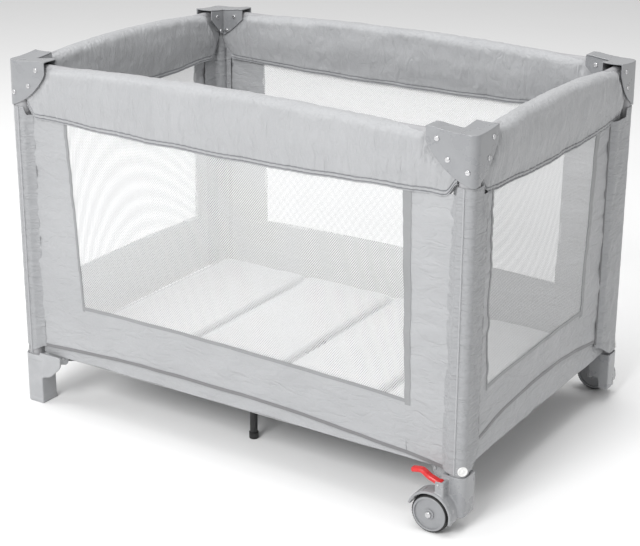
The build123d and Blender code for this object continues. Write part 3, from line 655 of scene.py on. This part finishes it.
def makeWall(side):
    facts = sides[side]
    reach, tuckTop, tape = facts["reach"], wallSet["tuckTop"], wallSet["tape"]
    home = facts["bodies"][0]
    for index, sign in enumerate((-1, 1)):
        endName = railEnds[side][index]

        def border(u, v, index=index, sign=sign):
            z = mix(hemHeight(side, sign * reach), tuckTop, v)
            edge = windowEdges(side, z)[index]
            along = mix(edge, sign * (reach + 0.002), u)
            z = mix(hemHeight(side, along), tuckTop, v)
            return along, z

        width = abs(sign * reach - facts["windowTop"][index])
        piece = makeWallSheet(side, f"border_{side}_{endName}", border, (width, 0.51),
                              finishes["bodyCloth"], home)

        # the tape at the wheeled end, and at the rear, is the wide one
        wide = wallSet["wideTape"] if endName in ("right", "rear") else tape

        def edgeTape(u, v, index=index, sign=sign, wide=wide):
            z = mix(sillHeight(side, sign * reach) - tape, tuckTop, v)
            edge = windowEdges(side, z)[index]
            return edge + sign * mix(-0.002, mix(wide * 0.6, wide, v), u), z

        strip = makeWallSheet(side, f"tape_{side}_{endName}", edgeTape, (wide, 0.42), finishes["tape"],
                              home, lift=wallSet["tapeLift"], step=wallSet["tapeStep"])

    def skirt(u, v):
        low, high = windowEdges(side, 0.24)
        along = mix(low - 0.003, high + 0.003, u)
        return along, mix(hemHeight(side, along), sillHeight(side, along), v)

    low, high = windowEdges(side, 0.24)
    skirtPiece = makeWallSheet(side, f"skirt_{side}", skirt, (high - low, 0.1), finishes["bodyCloth"], home)

    def sillTape(u, v):
        along = mix(low, high, u)
        return along, sillHeight(side, along) + mix(-tape, 0.002, v)

    sillStrip = makeWallSheet(side, f"tape_{side}_sill", sillTape, (high - low, tape), finishes["tape"],
                              home, lift=wallSet["tapeLift"], step=wallSet["tapeStep"])

    def binding(u, v):
        along = mix(-reach, reach, u)
        return along, hemHeight(side, along) + mix(-0.001, wallSet["binding"], v)

    bindingStrip = makeWallSheet(side, f"binding_{side}", binding, (2 * reach, 0.007),
                                 finishes["darkBinding"], home, lift=wallSet["bindingLift"],
                                 thickness=wallSet["bindingThick"], step=wallSet["bindingStep"])

    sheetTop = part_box("floor_sheet")[1].z

    def lining(u, v):
        along = mix(-reach + wallSet["lap"], reach - wallSet["lap"], u)
        return along, mix(sheetTop + 0.0005, sillHeight(side, along) - wallSet["lap"], v)

    liningPiece = makeWallSheet(side, f"lining_{side}", lining, (2 * reach, 0.12), finishes["bodyCloth"],
                                home, lift=wallSet["liningLift"], thickness=wallSet["liningThick"],
                                step=wallSet["liningStep"])

    def net(u, v):
        middle = mix(sillHeight(side, 0.0), tuckTop, v)
        left, right = windowEdges(side, middle)
        along = mix(left - wallSet["lap"], right + wallSet["lap"], u)
        return along, mix(sillHeight(side, along) - wallSet["lap"], tuckTop, v)

    netPiece = makeWallSheet(side, f"net_{side}", net, (high - low, 0.4), finishes["net"], home,
                             lift=wallSet["netLift"], thickness=0, step=wallSet["netStep"],
                             liftShare=0.5)
    for piece in (netPiece, skirtPiece):
        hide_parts("side_" + side)


for side in sides:
    makeWall(side)
print("side walls made")

# ---- post sleeves
sleeveSet = {"lift": 0.0014, "seam": {"front_left": 0.262, "front_right": 0.288, "rear_left": 0.262,
                                      "rear_right": 0.262},
             "longSeam": 0.486, "bead": 0.0018, "beadInset": 0.018, "cord": 0.0013, "round": 0.0135,
             "thickness": 0.0009, "footRoom": 0.003, "columns": 44, "rows": 130}
# depths of a sleeve's folds in metres, with how often they come round it and up it
sleeveFoldSet = {"wrinkle": {"depth": 0.0016, "round": 3.0, "up": 46},
                 "fine": {"depth": 0.0010, "round": 7, "up": 110},
                 "slant": {"depth": 0.0030, "round": 5, "lean": 10, "up": 16}}


def sleevePath(corner):
    # plan of the outer sleeve in the rear right corner's terms: panel seam, round the post, panel seam
    lift = sleeveSet["lift"]
    x1, y1 = postHigh.x + lift, postHigh.y + lift
    radius = sleeveSet["round"]
    longFace = sides["rear"]["face"] + 0.0010
    shortFace = sides["right"]["face"] + 0.0010
    seam = sleeveSet["seam"][corner]
    points = [(sleeveSet["longSeam"] - 0.002, longFace), (sleeveSet["longSeam"] + 0.006, longFace + 0.003),
              (postLow.x + 0.003, y1)]
    points += [(mix(postLow.x + 0.003, x1 - radius, t), y1) for t in (0.35, 0.7)]
    for k in range(7):
        turn = k / 6 * math.pi / 2
        points.append((x1 - radius + radius * math.sin(turn), y1 - radius + radius * math.cos(turn)))
    points += [(x1, mix(y1 - radius, seam + 0.016, t)) for t in (0.25, 0.5, 0.75)]
    points += [(x1 - 0.0015, seam + 0.014), (shortFace + 0.003, seam + 0.006), (shortFace, seam - 0.002)]
    return points


def alongPath(points, t):
    # a place at share t of the path's length, and the direction out of it
    lengths = [math.dist(a, b) for a, b in zip(points, points[1:])]
    want = t * sum(lengths)
    for (a, b), length in zip(zip(points, points[1:]), lengths):
        if want <= length or b == points[-1]:
            k = min(want / length, 1.0)
            direction = Vector((b[0] - a[0], b[1] - a[1])).normalized()
            return Vector((mix(a[0], b[0], k), mix(a[1], b[1], k))), Vector((-direction.y, direction.x))
        want -= length


def sleeveLift(u, z, seed):
    # wrinkles across the strips beside the post, slanting folds on the short side
    wrinkle, fine, slant = sleeveFoldSet.values()
    strip = smooth((u - 0.5) / 0.14) + smooth((0.24 - u) / 0.1)
    small = wrinkle["depth"] * ripple(u * wrinkle["round"], z * wrinkle["up"], seed)
    small += fine["depth"] * ripple(u * fine["round"], z * fine["up"], seed + 3)
    long = slant["depth"] * ripple(u * slant["round"] + z * slant["lean"], z * slant["up"], seed + 6)
    return small * (0.25 + 0.75 * min(strip, 1.0)) + long * smooth((u - 0.5) / 0.2)


def makeSleeve(corner):
    signX, signY = cornerSigns[corner]
    points = sleevePath(corner)
    longSide = "front" if signY < 0 else "rear"
    shortSide = "left" if signX < 0 else "right"
    total = sum(math.dist(a, b) for a, b in zip(points, points[1:]))
    seed = 50 + 9 * signX + 4 * signY
    foot = socketTop + sleeveSet["footRoom"]

    def place(u, v):
        flat, away = alongPath(points, u)
        onPost = smooth((flat.x - 0.4975) / 0.004) * smooth((flat.y - 0.3195) / 0.004)
        topEnd = mix(wallSet["tuckTop"], casingLow.z - 0.0006, onPost)
        longHem = hemHeight(longSide, signX * sides[longSide]["reach"])
        shortHem = hemHeight(shortSide, signY * sides[shortSide]["reach"])
        lowEnd = mix(longHem, foot, smooth(u / 0.35))
        if u >= 0.5:
            lowEnd = mix(foot, shortHem, smooth((u - 0.5) / 0.5))
        z = mix(lowEnd, topEnd, v)
        lift = sleeveLift(u, z, seed) * smooth(u / 0.05) * smooth((1 - u) / 0.05)
        flat = flat + away * max(lift, -sleeveSet["lift"] * 0.6)
        return Vector((signX * flat.x, signY * flat.y, z))

    piece = shapedGrid(f"sleeve_{corner}", sleeveSet["columns"], sleeveSet["rows"], place)
    faceAway(piece, Vector((signX, signY, 0)))
    applyModifier(piece, "SOLIDIFY", thickness=sleeveSet["thickness"], offset=-1.0)
    dress(piece, "post_" + corner, finishes["sleeveCloth"])

    insidePath = [(sleeveSet["longSeam"], sides["rear"]["face"] - 0.005),
                  (postLow.x - 0.002, sides["rear"]["face"] - 0.007), (postLow.x - 0.002, postLow.y + 0.008),
                  (postLow.x + 0.004, postLow.y - 0.001), (postLow.x + 0.012, postLow.y - 0.002),
                  (sides["right"]["face"] - 0.007, postLow.y - 0.002),
                  (sides["right"]["face"] - 0.005, sleeveSet["seam"][corner] + 0.02)]

    def inner(u, v):
        flat, away = alongPath(insidePath, u)
        z = mix(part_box("mattress_panel_1")[0].z, innerShellLow.z - 0.002, v)
        lift = 0.0012 * ripple(u * 3, z * 40, seed + 11)
        flat = flat - away * abs(lift)
        return Vector((signX * flat.x, signY * flat.y, z))

    width = sum(math.dist(a, b) for a, b in zip(insidePath, insidePath[1:]))
    lining = shapedGrid(f"sleeve_lining_{corner}", 22, 80, inner)
    faceAway(lining, Vector((-signX, -signY, 0)))
    applyModifier(lining, "SOLIDIFY", thickness=sleeveSet["thickness"], offset=-1.0)
    dress(lining, "post_" + corner, finishes["sleeveCloth"])

    # piping bead on the long side, a dark seam on the short one
    def bead(centre, radius, top, bottom):
        def ring(u, v):
            turn = 2 * math.pi * v
            z = mix(bottom, top, u)
            wander = 0.0005 * noise.noise(Vector((z * 18, seed, 2.0)))
            return Vector((signX * (centre[0] + wander + radius * math.cos(turn)),
                           signY * (centre[1] + radius * math.sin(turn)), z))
        return ring

    spots = {"piping": ((postHigh.x - sleeveSet["beadInset"], postHigh.y + sleeveSet["lift"] + 0.0004),
                        sleeveSet["bead"], finishes["bodyCloth"]),
             "seam": ((sides["right"]["face"] + 0.0022, sleeveSet["seam"][corner]), sleeveSet["cord"],
                      finishes["darkBinding"])}
    for label, (centre, radius, finish) in spots.items():
        top = casingLow.z - 0.001 if label == "piping" else wallSet["tuckTop"] - 0.01
        bottom = foot if label == "piping" else hemHeight(shortSide, signY * 0.29)
        cordPiece = shapedGrid(f"{label}_{corner}", 60, 8, bead(centre, radius, top, bottom))
        closeShell(cordPiece)
        dress(cordPiece, "post_" + corner, finish, 80)


for corner in cornerSigns:
    makeSleeve(corner)
print("post sleeves made")

# ---- snaps that hold the sleeves' lower ends
snapSet = {"radius": 0.0095, "height": 0.0032, "z": 0.125, "brim": 0.0022, "sink": 0.0009, "moat": 0.0030,
           "knob": 0.0007}


def makeSnap(corner):
    signX, signY = cornerSigns[corner]
    bpy.ops.object.select_all(action="DESELECT")
    bpy.ops.mesh.primitive_cylinder_add(vertices=40, radius=snapSet["radius"], depth=snapSet["height"])
    snap = bpy.context.object
    snap.name = snap.data.name = "snap_" + corner
    inset, sink = bpy.ops.mesh.inset, bpy.ops.transform.translate
    editFaces(snap, lambda face: face.normal.z > 0.9,
              (inset, {"thickness": snapSet["brim"]}), (inset, {"thickness": 0.0006}),
              (sink, {"value": (0, 0, -snapSet["sink"])}), (inset, {"thickness": snapSet["moat"]}),
              (inset, {"thickness": 0.0005}), (sink, {"value": (0, 0, snapSet["knob"])}))
    applyModifier(snap, "BEVEL", width=0.0005, segments=2, limit_method="ANGLE")
    away = Vector((signX, signY, 0)).normalized()
    centre = Vector((signX * (postHigh.x - 0.0045), signY * (postHigh.y - 0.0045), snapSet["z"]))
    turn = away.to_track_quat("Z", "Y").to_matrix().to_4x4()
    snap.data.transform(Matrix.Translation(centre + away * 0.0022) @ turn)
    dress(snap, "post_" + corner, finishes["snap"])


for corner in cornerSigns:
    makeSnap(corner)
print("snaps made")

# ---- mattress
matSet = {"margin": 0.004, "slack": 0.006, "bevel": 0.008, "pressure": 4.0, "frames": 20, "cap": 0.006,
          "voxel": 0.006, "dimple": 0.0012, "often": 9}


def inflate(piece):
    # a short cloth run that swells the pad, each point held near its start
    start = [point.co.copy() for point in piece.data.vertices]
    pick(piece)
    cloth = piece.modifiers.new("Cloth", "CLOTH")
    cloth.settings.use_pressure = True
    cloth.settings.uniform_pressure_force = matSet["pressure"]
    cloth.settings.quality = 5
    cloth.settings.effector_weights.gravity = 0
    cloth.point_cache.frame_start, cloth.point_cache.frame_end = 1, matSet["frames"]
    for step in range(1, matSet["frames"] + 1):
        bpy.context.scene.frame_set(step)
    pick(piece)
    bpy.ops.object.modifier_apply(modifier=cloth.name)
    bpy.context.scene.frame_set(1)
    for point, was in zip(piece.data.vertices, start):
        move = point.co - was
        if move.length > matSet["cap"]:
            point.co = was + move * (matSet["cap"] / move.length)


def makeMattress():
    low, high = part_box("mattress_panel_1")
    size = high - low
    bpy.ops.object.select_all(action="DESELECT")
    bpy.ops.mesh.primitive_cube_add(size=1)
    pad = bpy.context.object
    pad.name = pad.data.name = "mattress_cloth_1"
    margin = matSet["margin"]
    trimmed = size.x - 2 * margin, size.y - 2 * margin, size.z - matSet["slack"]
    pad.data.transform(Matrix.Diagonal((*trimmed, 1)))
    applyModifier(pad, "BEVEL", width=matSet["bevel"], segments=3, limit_method="NONE")
    applyModifier(pad, "REMESH", mode="VOXEL", voxel_size=matSet["voxel"])
    inflate(pad)
    applyModifier(pad, "SUBSURF", levels=1, render_levels=1)
    limit = Vector((size.x / 2, size.y / 2, size.z / 2))
    for point in pad.data.vertices:
        # soft dimples, then held inside the pad's own space
        crown = 1 - (2 * point.co.x / size.x) ** 4
        dent = ripple(point.co.x * matSet["often"], point.co.y * matSet["often"], 3)
        point.co.z += math.copysign(matSet["dimple"], point.co.z) * dent * crown
        for axis in range(3):
            point.co[axis] = min(max(point.co[axis], -limit[axis]), limit[axis])
    copies = []
    for index in range(4):
        low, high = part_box(f"mattress_panel_{index + 1}")
        pick(pad)
        if index:
            bpy.ops.object.duplicate()
        piece = bpy.context.object
        piece.name = piece.data.name = f"mattress_cloth_{index + 1}"
        centre = (low + high) / 2
        if index:
            piece.data = piece.data.copy()
        copies.append((piece, centre, f"mattress_panel_{index + 1}"))
    for piece, centre, panel in copies:
        piece.data.transform(Matrix.Translation(centre))
        dress(piece, panel, finishes["matCloth"])
        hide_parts(panel)


makeMattress()
print("mattress made")

# ---- floor sheet and lift strap
floorSet = {"keep": 0.12, "gap": 0.0005, "strapRoom": 0.006, "postRoom": 0.014, "columns": 30, "rows": 22,
            "sag": 0.0012, "drop": 0.0004, "thickness": 0.0010}


def gridStops(hole, notch, edge, count):
    # grid lines from the middle out, with one on the strap hole's edge and one on the notch's
    between = {mix(hole, notch, k / count) for k in range(1, count)}
    return sorted({floorSet["gap"], hole, notch, edge} | between)


def makeFloorSheet():
    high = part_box("floor_sheet")[1]
    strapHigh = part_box("lift_strap")[1]
    holeX, holeY = strapHigh.x + floorSet["strapRoom"], strapHigh.y + floorSet["strapRoom"]
    notchX, notchY = postLow.x - floorSet["postRoom"], postLow.y - floorSet["postRoom"]
    xs = gridStops(holeX, notchX, high.x, floorSet["columns"])
    ys = gridStops(holeY, notchY, high.y, floorSet["rows"])
    for corner, (signX, signY) in cornerSigns.items():
        def place(u, v):
            x = xs[round(u * (len(xs) - 1))]
            y = ys[round(v * (len(ys) - 1))]
            sag = floorSet["sag"] * ripple(signX * x * 9, signY * y * 9, 5) * smooth((x - 0.1) / 0.1)
            return Vector((signX * x, signY * y, high.z - floorSet["drop"] + sag))

        piece = shapedGrid("floor_cloth_" + corner, len(xs) - 1, len(ys) - 1, place)

        def isOpening(face):
            x, y = abs(face.center.x), abs(face.center.y)
            return (x > notchX and y > notchY) or (x < holeX and y < holeY)

        editFaces(piece, isOpening, (bpy.ops.mesh.delete, {"type": "FACE"}))
        faceAway(piece, Vector((0, 0, 1)))
        applyModifier(piece, "SOLIDIFY", thickness=floorSet["thickness"], offset=-1.0)
        dress(piece, "strut_" + corner, finishes["floorCloth"])
        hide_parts("floor_sheet")
        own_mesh(piece)


strapSet = {"width": 0.025, "length": 0.36, "thickness": 0.0013}


def makeLiftStrap():
    low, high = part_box("lift_strap")
    width = strapSet["width"]
    halfLength = (high.x - low.x) / 2 - width / 2
    halfWidth = (high.y - low.y) / 2 - width / 2
    straight = halfLength - halfWidth

    def place(u, v):
        # round the loop by u, across the webbing by v; the two ends lap at one side
        turn = u * 2 * math.pi
        centreX = math.copysign(straight, math.cos(turn)) * min(1, abs(math.cos(turn)) * 3)
        offset = halfWidth + (v - 0.5) * width
        x = centreX + offset * math.cos(turn)
        y = offset * math.sin(turn)
        z = high.z - 0.0003 + 0.0003 * math.sin(turn * 3)
        return Vector((x, y, z))

    piece = shapedGrid("lift_webbing", 96, 6, place)
    faceAway(piece, Vector((0, 0, 1)))
    edit(piece, (bpy.ops.mesh.remove_doubles, {"threshold": 0.00005}))
    applyModifier(piece, "SOLIDIFY", thickness=strapSet["thickness"], offset=-1.0)
    dress(piece, "hub", finishes["strapWeb"])
    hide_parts("lift_strap")


makeFloorSheet()
makeLiftStrap()
print("floor sheet and strap made")

# ---- tyres with tread
treadSet = {"blocks": 44, "depth": 0.0010, "thickness": 0.0039}


def makeTyre(corner):
    low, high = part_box("wheel_tyre_" + corner)
    centre = (low + high) / 2
    radius = (high.z - low.z) / 2
    innerRadius = radius - treadSet["thickness"]
    half = (high.y - low.y) / 2
    rim = [(half, innerRadius), (half, radius - 0.0030), (half - 0.0008, radius - 0.0016),
           (half - 0.0025, radius - 0.0005), (half - 0.0050, radius), (0.0022, radius),
           (0.0014, radius - 0.0012)]
    section = [(-side, reach) for side, reach in rim] + rim[::-1]
    rounds = treadSet["blocks"] * 4

    def place(u, v):
        turn = 2 * math.pi * u
        k = round(v * len(section)) % len(section)
        side, reach = section[k]
        step = round(u * rounds) % 4
        if step < 2 and reach > radius - 0.002 and abs(side) > 0.003:
            reach -= treadSet["depth"]
        return centre + Vector((reach * math.cos(turn), side, reach * math.sin(turn)))

    piece = shapedGrid("tyre_tread_" + corner, rounds, len(section), place)
    edit(piece, (bpy.ops.mesh.remove_doubles, {"threshold": 0.00004}),
         (bpy.ops.mesh.normals_make_consistent, {"inside": False}))
    dress(piece, "wheel_" + corner, finishes["tyre"], 30)
    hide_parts("wheel_tyre_" + corner)


for corner in ("front_right", "rear_right"):
    makeTyre(corner)
print("tyres made")

# ---- moulded parts, their edges rounded as a mould leaves them
softSet = {"corner_outer": {"voxel": 0.0011, "rounds": 9, "finish": "casing", "slot": "casing_plastic"},
           "foot": {"voxel": 0.0012, "rounds": 8, "finish": "footPlastic", "slot": "light_grey_plastic"},
           "caster_housing": {"voxel": 0.0012, "rounds": 8, "finish": "casterPlastic",
                              "slot": "light_grey_plastic"},
           "brake_lever": {"voxel": 0.0009, "rounds": 5, "finish": "red", "slot": "red_plastic"}}


def soften(node, kind):
    facts = softSet[kind]
    name = node.name
    body = node["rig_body"]
    piece = node.copy()
    piece.data = node.data.copy()
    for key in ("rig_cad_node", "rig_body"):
        del piece[key]
    piece.parent = None
    bpy.context.scene.collection.objects.link(piece)
    piece.name = piece.data.name = "moulded_" + name
    edit(piece, (bpy.ops.mesh.remove_doubles, {"threshold": 0.00002}))
    applyModifier(piece, "REMESH", mode="VOXEL", voxel_size=facts["voxel"])
    applyModifier(piece, "SMOOTH", factor=0.5, iterations=facts["rounds"])
    dress(piece, body, finishes[facts["finish"]], 60)
    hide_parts(name)


for name, node in list(frame["nodes"].items()):
    for kind in softSet:
        if name.startswith(kind):
            soften(node, kind)
print("moulded parts rounded")

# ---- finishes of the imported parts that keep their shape
finishOf = {"corner_outer": "casing", "corner_inner": "casing", "corner_fasteners": "bright",
            "post": "greyPaint", "strut": "blackPaint", "hub_pins": "bright", "hub": "black",
            "centre_leg": "blackPaint", "rail_latch": "black", "latch_button": "button",
            "rail": "greyPaint", "foot": "footPlastic", "caster_housing": "casterPlastic",
            "wheel_rim": "wheelPlastic", "brake_lever": "red"}
for name, node in frame["nodes"].items():
    if node.hide_render:
        continue
    kinds = [kind for kind in finishOf if name.startswith(kind)]
    kind = max(kinds, key=len)
    node.data.materials.clear()
    node.data.materials.append(finishes[finishOf[kind]])
print("packed parts finished")


# ---- floor, light and camera
def makeStage():
    bpy.ops.mesh.primitive_plane_add(size=40, location=(0, 0, 0))
    ground = bpy.context.object
    ground.name = "ground"
    made, tree, shader, where = newMaterial("paleGround", 0.9, specular=0.1)
    wear = useGroup(tree, wearGroup, where, Size=1.0)
    blendColours(tree, wear.outputs["Mask"], (0.86, 0.86, 0.86), (0.87, 0.87, 0.87), shader)
    ground.data.materials.append(made)


lightSet = {"key": {"place": (0.2, -4.4, 3.4), "size": 2.0, "power": 200},
            "side": {"place": (-3.6, -1.6, 2.6), "size": 2.6, "power": 45},
            "top": {"place": (0.2, 0.4, 4.4), "size": 3.4, "power": 110}}


def makeLights():
    for name, facts in lightSet.items():
        bpy.ops.object.light_add(type="AREA", location=facts["place"])
        lamp = bpy.context.object
        lamp.name = name + "Light"
        lamp.data.size = facts["size"]
        lamp.data.energy = facts["power"]
        aim = Vector((0, 0, 0.35)) - Vector(facts["place"])
        lamp.rotation_euler = aim.to_track_quat("-Z", "Y").to_euler()
    world = bpy.data.worlds.new("softWorld")
    bpy.context.scene.world = world
    world.use_nodes = True
    world.node_tree.nodes["Background"].inputs["Color"].default_value = (1, 1, 1, 1)
    world.node_tree.nodes["Background"].inputs["Strength"].default_value = 0.54


cameraSet = {"place": (1.6639, -2.6108, 1.4442), "yaw": 32.35, "pitch": 18.79, "roll": 0.40,
             "lens": 86.54, "shiftX": -0.0115, "shiftY": -0.068}


def makeCamera():
    bpy.ops.object.camera_add(location=cameraSet["place"])
    camera = bpy.context.object
    turn = Euler((math.radians(90 - cameraSet["pitch"]), 0, math.radians(cameraSet["yaw"]))).to_matrix()
    camera.rotation_euler = (turn @ Matrix.Rotation(math.radians(cameraSet["roll"]), 3, "Z")).to_euler()
    camera.data.sensor_width = 36
    camera.data.lens = cameraSet["lens"]
    camera.data.shift_x = cameraSet["shiftX"]
    camera.data.shift_y = cameraSet["shiftY"]
    camera.data.dof.use_dof = False
    bpy.context.scene.camera = camera


makeStage()
makeLights()
makeCamera()
bpy.context.scene.view_settings.view_transform = "Standard"
print("stage, lights and camera set")
